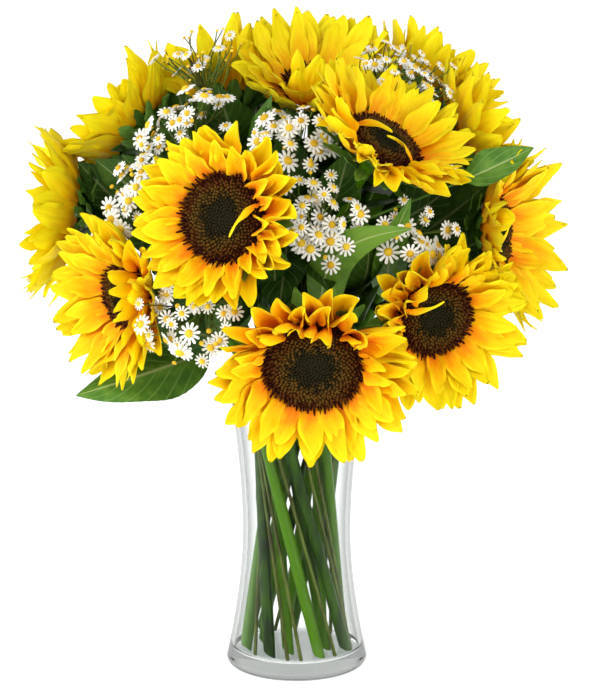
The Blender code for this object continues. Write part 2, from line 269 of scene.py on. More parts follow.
class Shader:
    """A short way to write a node tree round one Principled shader."""

    def __init__(self, name, roughness=0.5, specular=0.5):
        self.material = bpy.data.materials.new(name)
        self.material.use_nodes = True
        self.tree = self.material.node_tree
        self.main = self.tree.nodes["Principled BSDF"]
        self.main.inputs["Roughness"].default_value = roughness
        self.main.inputs["Specular IOR Level"].default_value = specular

    def node(self, kind, **values):
        """A new node; each value goes to the input or the setting of that name."""
        made = self.tree.nodes.new(kind)
        for key, value in values.items():
            if key in made.inputs:
                self.feed(made.inputs[key], value)
            else:
                setattr(made, key, value)
        return made

    def feed(self, socket, value):
        """Links a socket, or sets it to a constant."""
        if isinstance(value, bpy.types.NodeSocket):
            self.tree.links.new(value, socket)
        else:
            socket.default_value = value

    def math(self, operation, first, second=0.0, third=0.0):
        """One sum; the operation is named as the node names it."""
        made = self.node("ShaderNodeMath", operation=operation)
        for socket, value in zip(made.inputs, (first, second, third)):
            self.feed(socket, value)
        return made.outputs[0]

    def swing(self, value, amount):
        """A value of 0 to 1 turned into minus to plus half of the amount."""
        return self.math("MULTIPLY", self.math("SUBTRACT", value, 0.5), amount)

    def ramp(self, factor, stops):
        """A colour from stops of (position, colour)."""
        made = self.node("ShaderNodeValToRGB", Fac=factor)
        elements = made.color_ramp.elements
        while len(elements) < len(stops):
            elements.new(0.5)
        for element, (position, colour) in zip(elements, stops):
            element.position = position
            element.color = (*colour, 1.0)
        return made.outputs[0]

    def mix(self, factor, first, second, blend="MIX"):
        """Two colours mixed; a Mix node in colour mode has them as inputs 6 and 7."""
        made = self.tree.nodes.new("ShaderNodeMix")
        made.data_type = "RGBA"
        made.blend_type = blend
        self.feed(made.inputs[0], factor)
        self.feed(made.inputs[6], first)
        self.feed(made.inputs[7], second)
        return made.outputs[2]

    def noise(self, vector, scale, detail=2.0, rough=0.5):
        """Soft noise of about 0 to 1."""
        made = self.node("ShaderNodeTexNoise", Vector=vector, Scale=scale, Detail=detail,
                         Roughness=rough)
        return made.outputs["Fac"]

    def place(self, vector, scale):
        """A place stretched by a scale on each axis."""
        made = self.node("ShaderNodeMapping", Vector=vector)
        made.inputs["Scale"].default_value = scale
        return made.outputs[0]

    def bump(self, height, strength, distance):
        """Fine relief on the shader's normal."""
        made = self.node("ShaderNodeBump", Height=height, Strength=strength, Distance=distance)
        self.tree.links.new(made.outputs[0], self.main.inputs["Normal"])

    def blade_map(self):
        """Share across (0 to 1) and along (0 to 1) of a blade, and its tone."""
        uv = self.node("ShaderNodeUVMap", uv_map="blade_map").outputs[0]
        parts = self.node("ShaderNodeSeparateXYZ", Vector=uv)
        return parts.outputs[0], parts.outputs[1], self.tone()

    def tone(self):
        """The tone given to each blade, stem or daisy."""
        return self.node("ShaderNodeAttribute", attribute_name="tone").outputs["Fac"]

    def object_place(self):
        """Place in metres in the object's own space."""
        return self.node("ShaderNodeTexCoord").outputs["Object"]


def petal_material():
    """Orange at the root, golden, lemon at the tip; fine ribs run along the petal."""
    s = Shader("ray_petal", roughness=0.55, specular=0.12)
    side, along, tone = s.blade_map()
    joined = s.node("ShaderNodeCombineXYZ", X=side, Y=along, Z=tone).outputs[0]
    ribs = s.noise(s.place(joined, (26.0, 1.6, 40.0)), 1.0, 2.0)
    patches = s.noise(s.place(joined, (3.0, 3.5, 60.0)), 1.0, 2.0)
    shifted = s.math("ADD", along, s.swing(patches, 0.5))
    shifted = s.math("ADD", shifted, s.swing(tone, 0.50))
    rim = s.math("ABSOLUTE", s.math("SUBTRACT", side, 0.5))
    rim = s.math("POWER", s.math("MULTIPLY", rim, 2.0), 3.0)
    shifted = s.math("ADD", shifted, s.math("MULTIPLY", rim, 0.30))
    colour = s.ramp(shifted, (
        (0.0, (0.88, 0.22, 0.0)), (0.18, (0.95, 0.36, 0.0)), (0.42, (0.98, 0.55, 0.0)),
        (0.66, (0.98, 0.70, 0.002)), (1.0, (0.95, 0.82, 0.005))))
    # Where the rib relief is low the colour is darker: painted shade in the grooves between the
    # ribs.
    shade = s.ramp(ribs, ((0.30, (0.93, 0.84, 0.7)), (0.55, (1.0, 1.0, 1.0))))
    s.feed(s.main.inputs["Base Color"], s.mix(0.75, colour, shade, "MULTIPLY"))
    s.main.inputs["Sheen Weight"].default_value = 0.02
    s.bump(ribs, 0.5, 0.0006)
    return s.material


def floret_material():
    """Nearly black in the middle, then warm brown, then a maroon edge; tips are paler."""
    s = Shader("disk_floret", roughness=0.85, specular=0.08)
    tip, zone, tone = s.blade_map()
    spread = s.math("ADD", zone, s.swing(tone, 0.24))
    low = s.ramp(spread, (
        (0.0, (0.010, 0.009, 0.003)), (0.40, (0.008, 0.006, 0.002)), (0.62, (0.050, 0.020, 0.004)),
        (0.82, (0.050, 0.013, 0.003)), (0.97, (0.022, 0.004, 0.002))))
    high = s.ramp(spread, (
        (0.0, (0.022, 0.020, 0.007)), (0.42, (0.020, 0.016, 0.005)), (0.62, (0.13, 0.070, 0.010)),
        (0.80, (0.11, 0.036, 0.006)), (0.93, (0.040, 0.007, 0.003))))
    s.feed(s.main.inputs["Base Color"], s.mix(tip, low, high))
    grain = s.noise(s.object_place(), 900.0, 2.0)
    s.bump(grain, 0.4, 0.0004)
    return s.material


def green_material(name, dark, light, scale=(260.0, 260.0, 22.0)):
    """Fresh green stem: streaks and paler patches that run up it."""
    s = Shader(name, roughness=0.32, specular=0.14)
    here = s.object_place()
    streaks = s.noise(s.place(here, scale), 1.0, 3.0)
    patches = s.noise(s.place(here, (30.0, 30.0, 9.0)), 1.0, 3.0)
    mixed = s.math("ADD", s.math("MULTIPLY", streaks, 0.5), s.math("MULTIPLY", patches, 0.55))
    mixed = s.math("ADD", mixed, s.swing(s.tone(), 0.75))
    middle = tuple((a + b) / 2 for a, b in zip(dark, light))
    s.feed(s.main.inputs["Base Color"], s.ramp(mixed, ((0.28, dark), (0.5, middle), (0.72, light))))
    fine = s.noise(s.place(here, (900.0, 900.0, 60.0)), 1.0, 2.0)
    s.bump(fine, 0.35, 0.0005)
    return s.material


def leaf_material(name, gain):
    """Green blade with a pale midrib and pale side veins that slant to the tip.

    The gain brightens or darkens every colour and the gloss; a gain below one makes a darker copy
    of the finish, painted shade for leaves deep in the bouquet.
    """
    s = Shader(name, roughness=0.46, specular=0.3 * gain)

    def shade_of(*colour):
        return tuple(part * gain for part in colour)

    side, along, tone = s.blade_map()
    out = s.math("ABSOLUTE", s.math("SUBTRACT", side, 0.5))
    midrib = s.math("SMOOTH_MIN", s.math("MULTIPLY", out, 26.0), 1.0, 0.1)
    phase = s.math("SUBTRACT", s.math("MULTIPLY", along, 9.0), s.math("MULTIPLY", out, 4.6))
    wave = s.math("ABSOLUTE", s.math("SUBTRACT", s.math("FRACT", phase), 0.5))
    veins = s.math("MINIMUM", s.math("MULTIPLY", wave, 9.0), 1.0)
    patches = s.noise(s.place(s.object_place(), (60.0, 60.0, 60.0)), 1.0, 4.0, 0.6)
    shade = s.math("ADD", patches, s.swing(tone, 0.5))
    blade = s.ramp(shade, (
        (0.25, shade_of(0.030, 0.105, 0.008)), (0.5, shade_of(0.075, 0.20, 0.016)),
        (0.75, shade_of(0.17, 0.34, 0.035))))
    veined = s.mix(veins, (*shade_of(0.17, 0.33, 0.06), 1.0), blade)
    s.feed(s.main.inputs["Base Color"],
           s.mix(midrib, (*shade_of(0.46, 0.56, 0.22), 1.0), veined))
    s.bump(s.math("ADD", s.math("MULTIPLY", veins, 0.7), patches), 0.5, 0.0006)
    return s.material


def plain_material(name, stops, roughness, scale):
    """A finish whose colour wanders a little between the given stops."""
    s = Shader(name, roughness=roughness, specular=0.3)
    wander = s.noise(s.object_place(), scale, 3.0)
    factor = s.math("ADD", s.math("MULTIPLY", wander, 0.6), s.math("MULTIPLY", s.tone(), 0.4))
    s.feed(s.main.inputs["Base Color"], s.ramp(factor, stops))
    s.bump(s.noise(s.object_place(), scale * 3, 2.0), 0.3, 0.0003)
    return s.material


def glass_material():
    """Clear glass with a faint green-grey tint whose colour is painted darker towards its edges,
    painted shade for the dark edges of the glass; lamps shine through it.

    Its index and reflections are set low, so that the stems behind it stay clear.
    """
    s = Shader("clear_glass", roughness=0.0, specular=0.06)
    # The colour darkens from the facing middle to the grazing edges: painted shade for the dark
    # edges of the glass.
    facing = s.node("ShaderNodeLayerWeight", Blend=0.5).outputs["Facing"]
    s.feed(s.main.inputs["Base Color"], s.ramp(facing, (
        (0.0, (0.99, 0.995, 0.993)), (0.42, (0.92, 0.935, 0.928)), (0.72, (0.30, 0.33, 0.32)),
        (1.0, (0.03, 0.035, 0.032)))))
    s.main.inputs["Transmission Weight"].default_value = 1.0
    s.main.inputs["IOR"].default_value = 1.36
    s.main.inputs["Specular Tint"].default_value = (0.12, 0.12, 0.12, 1.0)
    clear = s.node("ShaderNodeBsdfTransparent", Color=(0.96, 0.98, 0.97, 1.0))
    mixer = s.node("ShaderNodeMixShader")
    rays = s.node("ShaderNodeLightPath")
    s.feed(mixer.inputs[0], rays.outputs["Is Shadow Ray"])
    s.feed(mixer.inputs[1], s.main.outputs[0])
    s.feed(mixer.inputs[2], clear.outputs[0])
    s.feed(s.tree.nodes["Material Output"].inputs["Surface"], mixer.outputs[0])
    body = s.node("ShaderNodeVolumeAbsorption", Color=(0.0, 0.05, 0.03, 1.0), Density=8.0)
    s.feed(s.tree.nodes["Material Output"].inputs["Volume"], body.outputs[0])
    return s.material


# ------------------------------ vase

VASE_WAIST_HEIGHT = 0.105
VASE_WALL = 0.0038
VASE_FLOOR = 0.012


def vase_radius(z, height, waist=0.0414):
    """Outer radius: one power of the distance from the waist below it, another above it."""
    low = waist + 0.0142 * np.clip((VASE_WAIST_HEIGHT - z) / VASE_WAIST_HEIGHT, 0, 1) ** 1.7
    high = 0.0088 * np.clip((z - VASE_WAIST_HEIGHT) / (height - VASE_WAIST_HEIGHT), 0, 1) ** 1.8
    return low + high


def vase_outline(height):
    """Half outline of the glass from under the floor, up the wall, over the lip and down."""
    heel, fillet, lip = 0.006, 0.0045, VASE_WALL / 2

    def arc(x, z, radius, start, stop, steps):
        a = np.radians(np.linspace(start, stop, steps))
        return np.stack((x + radius * np.cos(a), z + radius * np.sin(a)), axis=1)

    def wall(start, stop, inset, steps=34):
        z = np.linspace(start, stop, steps)
        return np.stack((vase_radius(z, height) - inset, z), axis=1)

    top = height - lip
    inner_low = VASE_FLOOR + fillet
    inner_x = vase_radius(inner_low, height) - VASE_WALL - fillet
    return np.concatenate((
        [(0.0004, 0.0)],
        arc(vase_radius(heel, height) - heel, heel, heel, -90, 0, 9),
        wall(heel + 0.002, top - 0.001, 0.0),
        arc(vase_radius(top, height) - lip, top, lip, 0, 180, 9),
        wall(top - 0.001, inner_low + 0.001, VASE_WALL),
        arc(inner_x, inner_low, fillet, 0, -90, 7),
        [(0.0004, VASE_FLOOR)]))


def make_vase(glass):
    """The outline turned once round the axis."""
    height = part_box("glass_vase")[1].z
    outline = vase_outline(height)
    a = round_steps(128)
    rings = np.stack((outline[:, :1] * np.cos(a), outline[:, :1] * np.sin(a),
                      np.broadcast_to(outline[:, 1:], (len(outline), len(a)))), axis=-1)
    builder = Builder()
    builder.loft(rings[None], np.array((0.5, 0.5)), np.zeros((1, 1, 1)))
    return builder.piece("clear_glass_vase", [glass], ["glass_vase"])


# ------------------------------ sunflower petals


def petal_sheets(rng, angle, base, depth, length, width, lift, curl, drift, twist, channel):
    """Middle sheets of petals round a head, in the head's own side, up and axis.

    The centre line starts at radius base and height depth, rises at the angle lift, which
    turns by curl towards the tip, and drifts to one side with the square of the way along.
    Across it the petal is a shallow channel with two ribs and a rippled edge, and its tip is
    drawn out into a few teeth. Every argument after rng is an array with one value a petal.
    """
    nu, nv = 16, 11
    u = np.linspace(0, 1, nu)[None, :]
    v = np.linspace(-1, 1, nv)[None, None, :]

    def col(x):
        return np.reshape(x, (-1, 1))

    def cube(x):
        return np.reshape(x, (-1, 1, 1))

    wobble = rng.uniform(0, math.tau, (len(angle), 4))
    rise = col(lift) + col(curl) * u**1.4 + 0.10 * np.sin(4.5 * u + wobble[:, :1]) * u
    step = 1.0 / (nu - 1)
    run = np.cumsum(np.cos(rise), axis=1) * step
    climb = np.cumsum(np.sin(rise), axis=1) * step
    r = col(base) + col(length) * (run - run[:, :1])
    z = col(depth) + col(length) * (climb - climb[:, :1])
    t = col(drift) * col(length) * u**2
    half = col(width) / 2 * (0.42 + 0.58 * np.sin(np.clip(u / 0.45, 0, 1) * math.pi / 2))
    half = half * np.maximum(np.clip(1 - u**3.6, 0, 1) ** 0.8, 0.12)
    half = half * (1 + 0.08 * np.sin(11 * u + wobble[:, 1:2]))
    turn = col(twist) * u
    out = np.stack((np.cos(angle), np.sin(angle), np.zeros_like(angle)), axis=-1)[:, None, None]
    lat = np.stack((-np.sin(angle), np.cos(angle), np.zeros_like(angle)), axis=-1)[:, None, None]
    up = np.array((0.0, 0.0, 1.0))
    sin_r, cos_r = np.sin(rise)[..., None, None], np.cos(rise)[..., None, None]
    normal = up * cos_r - out * sin_r
    forward = out * cos_r + up * sin_r
    cos_t, sin_t = np.cos(turn)[..., None, None], np.sin(turn)[..., None, None]
    wide = lat * cos_t + normal * sin_t
    face = normal * cos_t - lat * sin_t
    w = half[:, :, None]
    edge = 0.16 * np.sin(13 * u[:, :, None] + cube(wobble[:, 2]) + 1.5 * v) * np.abs(v) ** 2
    ribs = 0.06 * np.cos(math.tau * 1.45 * v) * np.sin(math.pi * u[:, :, None]) ** 0.6
    height = w * (cube(channel) * v**2 + edge + ribs)
    blunt = np.clip(w / cube(width) / 0.18, 0, 1)
    teeth = 0.065 * np.cos(3.3 * math.pi * v + cube(wobble[:, 3])) * u[:, :, None] ** 5 * blunt
    slide = cube(length) * teeth
    middle = out * r[..., None, None] + lat * t[..., None, None] + up * z[..., None, None]
    return (middle + wide * (w * v)[..., None] + face * height[..., None]
            + forward * slide[..., None])


# Where a head's petals fold in over its disk, or spread back where the fold is negative:
# number, direction in the world, how far they fold and how crumpled they are.
FOLDS = {
    1: ((0.25, 0.0, 1.0), 0.42, 1.0), 2: ((0.9, 0.0, -0.15), 0.14, 0.9),
    3: ((-0.2, -1.0, -0.3), -0.35, 0.4), 4: ((-0.7, 0.0, 0.6), 0.24, 0.9),
    5: ((0.8, -0.6, 0.3), 0.60, 0.6), 6: ((-0.7, -0.7, 0.2), -0.30, 0.4),
    8: ((0.3, -1.0, 0.0), -0.30, 0.0), 9: ((0.3, -1.0, -0.3), -0.55, 0.0),
    10: ((0.0, -1.0, -0.4), 0.85, 0.0), 12: ((-0.3, -1.0, 0.0), 0.60, 0.2),
}
PLAIN_FOLD = ((0.0, 0.0, 1.0), 0.25, 0.2)
# Heads whose petals are longer than the rest, and by what factor.
LONG_PETALS = {6: 1.05, 7: 1.05, 9: 1.15, 10: 1.08}
# The range of a head's petal tones, from orange at 0 to lemon at 1. Heads 7 to 10 are set towards
# lemon as painted light, for petals on the shaded side that light would shine through.
PETAL_TONES_AND_PAINTED_LIGHT = {
    1: (0.0, 0.5), 2: (0.0, 0.55), 3: (0.1, 0.8), 4: (0.1, 0.8), 5: (0.0, 0.6), 6: (0.1, 0.7),
    7: (0.75, 1.0), 8: (0.75, 1.0), 9: (0.5, 1.0), 10: (0.5, 1.0),
}
PLAIN_TONES = (0.3, 1.0)
PETAL_LAYERS = (
    # count, length, width in mm, lift and curl in degrees, depth and inset in mm,
    # further lift and curl in degrees where the petals fold
    (21, 1.06, 23.0, 20, 20, -3.0, 0.2, 10, 4),
    (20, 1.00, 21.5, 32, 8, -1.4, 0.9, 28, 14),
    (16, 0.84, 17.0, 48, -14, 0.0, 1.6, 62, 30),
)
# Loose narrow petals that lie curled on the disk: number and how many.
LOOSE = {2: 1, 3: 2, 4: 1, 5: 1, 6: 2, 13: 1}


def make_petals(head, material):
    """Three layers of petals and a few loose ones; they stand up where a neighbour is close."""
    rng = np.random.default_rng(100 + head.number)
    builder = Builder()
    full = (head.reach - head.disk) / math.cos(math.radians(40)) * LONG_PETALS.get(head.number, 1.0)
    fold_way, fold, crumple = FOLDS.get(head.number, PLAIN_FOLD)
    fold_angle = head.angle_of(np.array(fold_way))
    # For heads 7 to 10 these tones carry painted light as well as tone.
    tones_and_painted_light = PETAL_TONES_AND_PAINTED_LIGHT.get(head.number, PLAIN_TONES)
    for layer, numbers in enumerate(PETAL_LAYERS):
        count, share, width, lift, curl, depth, inset, fold_lift, fold_curl = numbers
        angle = math.tau * (np.arange(count) + rng.uniform(-0.28, 0.28, count)) / count
        angle = angle + layer * 0.19
        length = full * share * rng.uniform(0.88, 1.06, count)
        wide = width * MM * rng.uniform(0.82, 1.12, count) * (0.86 + 2.2 * head.disk / 0.5)
        lifts = np.radians(lift + rng.normal(0, 5, count))
        curls = np.radians(curl + rng.normal(0, 13, count))
        toward = np.clip(np.cos(angle - fold_angle), 0, 1) ** 1.5 * fold
        lifts = lifts + toward * np.radians(fold_lift)
        curls = curls + toward * np.radians(fold_curl)
        curled = np.clip(np.cos(angle - fold_angle) + 0.35, 0, 1) * crumple
        wide = wide * (1 - 0.22 * curled)
        room = head.room(angle)
        wanted = head.disk + length * np.cos(lifts + curls * 0.45)
        tight = np.clip((wanted - room - 5 * MM) / (22 * MM), 0, 1)
        lifts = lifts + tight * np.radians(34)
        length = length * (1 - 0.10 * tight)
        base = np.full(count, head.disk - inset * MM)
        sheet = petal_sheets(
            rng, angle, base, np.full(count, depth * MM), length, wide, lifts, curls,
            rng.normal(0, 0.10, count), rng.normal(0, 0.32 + 0.5 * curled, count),
            rng.uniform(-0.10, 0.42, count) + 0.9 * curled)
        blades(builder, head.place(sheet), PETAL_THICKNESS, rng.uniform(*tones_and_painted_light, count))
    loose = LOOSE.get(head.number, 0)
    if loose:
        angle = fold_angle + rng.uniform(-1.3, 1.3, loose)
        sheet = petal_sheets(
            rng, angle, np.full(loose, head.disk * 0.98), np.full(loose, 0.004),
            rng.uniform(0.020, 0.030, loose), rng.uniform(0.0045, 0.0065, loose),
            np.radians(rng.uniform(118, 135, loose)), np.radians(rng.uniform(45, 70, loose)),
            rng.choice((-0.6, 0.6), loose), rng.uniform(0.6, 1.4, loose), np.full(loose, 0.5))
        blades(builder, head.place(sheet), PETAL_THICKNESS, rng.uniform(0.2, 0.7, loose))
    return builder.piece(head.name + "_ray_petals", [material], [head.name + "_petals"])


# ------------------------------ sunflower disk


def dome(share):
    """Height of the disk in parts of its radius: a rounded rim and a slightly sunken middle."""
    return 0.20 * np.clip(1 - share**3.5, 0, 1) ** 0.6 - 0.07 * np.exp(-((share / 0.38) ** 2))


def make_disk(head, material):
    """A dome set with florets in the golden-angle spiral, taller towards the edge."""
    rng = np.random.default_rng(300 + head.number)
    builder = Builder()
    share = np.concatenate(([0.012], np.linspace(0.08, 1.0, 12), [0.985, 0.012]))
    z = np.concatenate((dome(share[:13]), [-0.05, -0.05])) * head.disk
    a = round_steps(40)
    reach = share[:, None] * head.disk
    rings = np.stack((reach * np.cos(a), reach * np.sin(a),
                      np.broadcast_to(z[:, None], (len(z), len(a)))), axis=-1)
    zone = np.stack(np.broadcast_arrays(0.0 * a[None, :], share[:, None]), axis=-1)[None]
    builder.loft(head.place(rings[None]), zone, np.full((1, 1, 1), 0.5))
    count = int(640 * (head.disk / 0.033) ** 1.4)
    k = np.arange(count)
    part = np.sqrt((k + 0.5) / count)
    turn = k * GOLDEN_ANGLE
    out = np.stack((np.cos(turn), np.sin(turn), np.zeros(count)), axis=1)
    lean = 0.10 + 0.95 * part**4 + rng.normal(0, 0.12, count)
    way = unit(out * lean[:, None] + np.array((0, 0, 1.0)) + rng.normal(0, 0.13, (count, 3)))
    spot = out * (part * head.disk * 0.97)[:, None]
    spot[:, 2] = dome(part) * head.disk - 0.0004
    gap = head.disk * math.sqrt(math.pi / count)
    tall = np.interp(part, (0, 0.30, 0.50, 0.72, 0.92, 1.0), (1.3, 1.4, 2.6, 3.6, 4.6, 7.0)) * MM
    tall = tall * rng.uniform(0.65, 1.3, count)
    sides = 5
    b = round_steps(sides)[None, :, None]
    ring_share = np.array((0.50, 0.56, 0.40, 0.10))
    ring_height = np.array((0.0, 0.55, 0.90, 1.0))
    flare = np.interp(part, (0, 0.5, 1.0), (1.0, 0.95, 0.70))
    basis_side = unit(np.cross(way, rng.normal(size=way.shape)))
    basis_cross = np.cross(way, basis_side)
    circle = np.cos(b) * basis_side[:, None] + np.sin(b) * basis_cross[:, None]
    rings = (spot[:, None, None] + circle[:, None] * ring_share[None, :, None, None] * gap
             * flare[:, None, None, None]
             + way[:, None, None] * (ring_height[None, :] * tall[:, None])[:, :, None, None])
    height = np.broadcast_to(ring_height[None, :, None], (count, 4, sides))
    uv = np.stack((height, np.broadcast_to(part[:, None, None], height.shape)), axis=-1)
    builder.loft(head.place(rings), uv, rng.uniform(0, 1, (count, 1, 1)))
    return builder.piece(head.name + "_florets", [material], [head.name + "_disk"])


# ------------------------------ sunflower stem


def hermite(start, start_pull, end, end_pull, steps):
    """Points of a cubic from start to end with the given end directions, for one or many."""
    t = np.linspace(0, 1, steps)[:, None]
    return ((2 * t**3 - 3 * t**2 + 1) * start + (t**3 - 2 * t**2 + t) * start_pull
            + (3 * t**2 - 2 * t**3) * end + (t**3 - t**2) * end_pull)


# Tone of each stem, from dark olive to fresh green.
STEM_TONES = (0.95, 0.70, 0.30, 0.85, 0.50, 1.0, 0.60, 0.25, 0.80, 0.40, 0.65, 0.90, 0.45)
STEM_RADIUS = 4.25 * MM
BRACT_ROWS = (
    # count, foot radius in disk radii, depth in receptacle depths, length in disk radii,
    # lift in degrees
    (14, 0.80, 0.62, 0.78, 8),
    (15, 0.90, 0.34, 0.72, 22),
)


def stem_line(foot, tie, end, axis):
    """The stem's route: straight from the vase's floor to the tie, then one curve to its end."""
    along = unit(tie - foot)
    pull = np.linalg.norm(end - tie)
    low = foot + (tie - foot) * np.linspace(0, 1, 27)[:-1, None]
    return np.concatenate((low, hermite(tie, along * pull, end, axis * pull, 30)))


def make_green(head, stem, bract):
    """Stem, receptacle and two rows of green bracts behind the petals."""
    rng = np.random.default_rng(500 + head.number)
    builder = Builder()
    neck = head.centre - head.axis * (RECEPTACLE_DEPTH + 0.0003)
    line = stem_line(head.foot, head.tie, neck, head.axis)
    depth = np.array((0.72, 0.5, 0.34, 0.2, 0.1, 0.03, 0.0)) * RECEPTACLE_DEPTH + 0.0004
    wide = np.array((0.30, 0.50, 0.70, 0.86, 0.93, 0.93, 0.88)) * head.disk
    line = np.concatenate((line, head.centre - head.axis * depth[:, None]))
    s = np.linspace(0, 1, len(line) - len(depth))
    nodes = sum(0.10 * np.exp(-(((s - c) / 0.006) ** 2)) for c in rng.uniform(0.08, 0.9, 4))
    slim = STEM_RADIUS * (1 + 0.04 * np.sin(14 * s + head.number) + nodes)
    slim[-4:] = slim[-4:] * np.array((1.02, 1.08, 1.2, 1.45))
    radius = np.concatenate((slim, wide))
    tone = STEM_TONES[head.number % len(STEM_TONES)]
    tubes(builder, line[None], radius[None], 18, np.array([tone]), 0, ribs=0.025, cut=0.8)
    for count, base, back, length, lift in BRACT_ROWS:
        angle = math.tau * (np.arange(count) + rng.uniform(-0.2, 0.2, count)) / count
        sheet = petal_sheets(
            rng, angle, np.full(count, base * head.disk), np.full(count, -back * RECEPTACLE_DEPTH),
            length * head.disk * rng.uniform(0.85, 1.15, count), rng.uniform(8.5, 11.5, count) * MM,
            np.radians(lift + rng.normal(0, 6, count)), np.radians(10 + rng.normal(0, 12, count)),
            rng.normal(0, 0.06, count), rng.normal(0, 0.15, count), rng.uniform(0.1, 0.3, count))
        blades(builder, head.place(sheet), LEAF_THICKNESS, rng.uniform(0.2, 0.9, count), 1)
    return builder.piece(head.name + "_green", [stem, bract], [head.name + "_stem"])


# ------------------------------ leaves


def leaf_stations(node):
    """Middle, side direction and half width at each station of a CAD leaf, stalk first."""
    points = corners(node)
    middle = points.mean(axis=0)
    chord = np.linalg.svd(points - middle)[2][0]
    ends = points @ chord
    if np.linalg.norm(points[ends.argmax()] - BOUQUET_MIDDLE) < np.linalg.norm(
            points[ends.argmin()] - BOUQUET_MIDDLE):
        chord = -chord
    order = points[np.argsort(points @ chord)]
    rings = order[: len(order) // 4 * 4].reshape(-1, 4, 3)
    centres = rings.mean(axis=1)
    offset = rings - centres[:, None]
    far = np.linalg.norm(offset, axis=2).argmax(axis=1)
    side = offset[np.arange(len(rings)), far]
    half = np.linalg.norm(side, axis=1)
    side = unit(side)
    middle_side = side[half.argmax()]
    side = side * np.sign(side @ middle_side)[:, None]
    return centres, side, half, middle_side


LEAF_STEPS = 44
# Each leaf: its bow within its own plane and the droop of its tip, both in parts of its
# length, the share that is bare stalk, and its tone from dark to light.
LEAF_BOWS = {
    "leaf_low_left": (0.05, 0.02, 0.14, 0.50), "leaf_front_centre": (0.26, 0.04, 0.12, 1.0),
    "leaf_front_right": (-0.10, 0.05, 0.12, 0.60), "leaf_right_high": (0.06, 0.03, 0.64, 0.55),
    "leaf_top": (0.05, 0.02, 0.20, 0.40), "leaf_back_left": (0.08, 0.05, 0.14, 0.50),
    "leaf_back_right": (-0.08, 0.05, 0.14, 0.40), "leaf_back_low": (0.06, 0.05, 0.14, 0.60),
}


def leaf_sheet(rng, line, side, width, stalk, nv=17):
    """Middle sheet of one leaf: a stalk, then a pointed oval with a groove along its midrib.

    The half width is a power of a sine of the way along the blade. The blade rises to each
    side of the midrib, puffs up between the side veins and waves along its edge, which has
    small teeth.
    """
    u = np.linspace(0, 1, LEAF_STEPS)
    v = np.linspace(-1, 1, nv)[None, :]
    t = np.linspace(0, 1, len(line))
    middle = np.stack([np.interp(u, t, line[:, k]) for k in range(3)], axis=1)
    blade = np.clip((u - stalk) / (1 - stalk), 0, 1)
    oval = np.sin(math.pi * blade**0.72) ** 0.85 * width / 2
    oval = oval * (1 + 0.022 * (np.mod(blade * 19, 1.0) - 0.5))
    half = np.maximum(oval, 0.0013 * (1 - 0.7 * u))[:, None]
    tangent = unit(np.gradient(middle, axis=0))
    side = unit(side - tangent * (tangent @ side)[:, None])
    face = np.cross(side, tangent)
    phase = rng.uniform(0, math.tau, 2)
    rise = 0.20 * np.abs(v) ** 1.3 - 0.035 * np.exp(-((v / 0.10) ** 2))
    puff = 0.035 * np.cos(math.tau * (9 * blade[:, None] - 2.3 * np.abs(v)))
    puff = puff * np.abs(v) * (1 - v**2)
    wave = 0.09 * np.sin(12 * blade[:, None] + phase[0] + np.sign(v) * phase[1]) * v**2
    height = half * (rise + puff + wave)
    return (middle[:, None] + side[:, None] * (half * v)[..., None]
            + face[:, None] * height[..., None])


def make_leaf(node, material, number):
    """A detailed leaf along the CAD leaf's own line."""
    rng = np.random.default_rng(700 + number)
    centres, _, half, side = leaf_stations(node)
    length = np.linalg.norm(centres[-1] - centres[0])
    t = np.linspace(0, 1, len(centres))
    fine = np.linspace(0, 1, LEAF_STEPS)
    line = np.stack([np.interp(fine, t, centres[:, k]) for k in range(3)], axis=1)
    bow, droop, bare, tone = LEAF_BOWS[node]
    line = line + side * (bow * length * np.sin(math.pi * fine) * fine**0.3)[:, None]
    line[:, 2] -= droop * length * fine**2
    for _ in range(6):
        line[1:-1] = (line[:-2] + 2 * line[1:-1] + line[2:]) / 4
    builder = Builder()
    sheet = leaf_sheet(rng, line, side, 2 * half.max() * 1.04, bare)
    blades(builder, sheet[None], LEAF_THICKNESS, np.array([tone]))
    return builder.piece(node + "_blade", [material], [node])


FILLER_COUNT = 64
# Leaves that stand between two flowers: start, tip, width in mm and the turn of the blade.
SCREEN_LEAVES = (
    ((70, -30, 330), (142, -46, 385), 44, 1.2), ((60, -30, 345), (122, -50, 392), 40, 1.0),
    ((90, -20, 320), (152, -62, 352), 38, 1.3), ((-5, -40, 360), (-8, -72, 428), 40, 0.1),
    ((20, -40, 350), (38, -80, 412), 38, -0.4), ((-60, -10, 380), (-100, -36, 430), 40, 0.8),
    ((-70, -20, 330), (-140, -34, 366), 44, 1.3), ((-50, -40, 290), (-106, -72, 334), 44, 1.2),
    ((40, -50, 300), (52, -96, 348), 36, 0.3), ((-20, -40, 300), (-16, -86, 332), 38, 0.2),
    ((30, 0, 400), (58, -8, 462), 34, 0.2), ((-70, 20, 390), (-92, 30, 452), 34, -0.2),
    ((-80, -10, 350), (-150, -14, 396), 46, 1.4), ((-50, -30, 262), (-112, -66, 286), 44, 1.5),
    ((-60, -20, 350), (-128, -44, 404), 42, 1.0), ((60, -40, 330), (120, -66, 322), 40, 1.5),
    ((-40, 0, 400), (-58, -26, 452), 40, 0.5), ((10, -20, 390), (-22, -52, 440), 40, 0.2),
    ((90, 0, 350), (150, -6, 372), 44, 1.4), ((-30, -50, 330), (-72, -80, 300), 40, 0.9),
    ((-110, 10, 340), (-164, 0, 392), 40, 1.4), ((60, -40, 290), (114, -62, 328), 38, 1.3),
    ((20, -60, 270), (60, -90, 316), 34, 0.7), ((-40, -50, 270), (-64, -84, 312), 36, 0.8),
    ((30, -60, 300), (66, -84, 336), 34, 0.5),
)


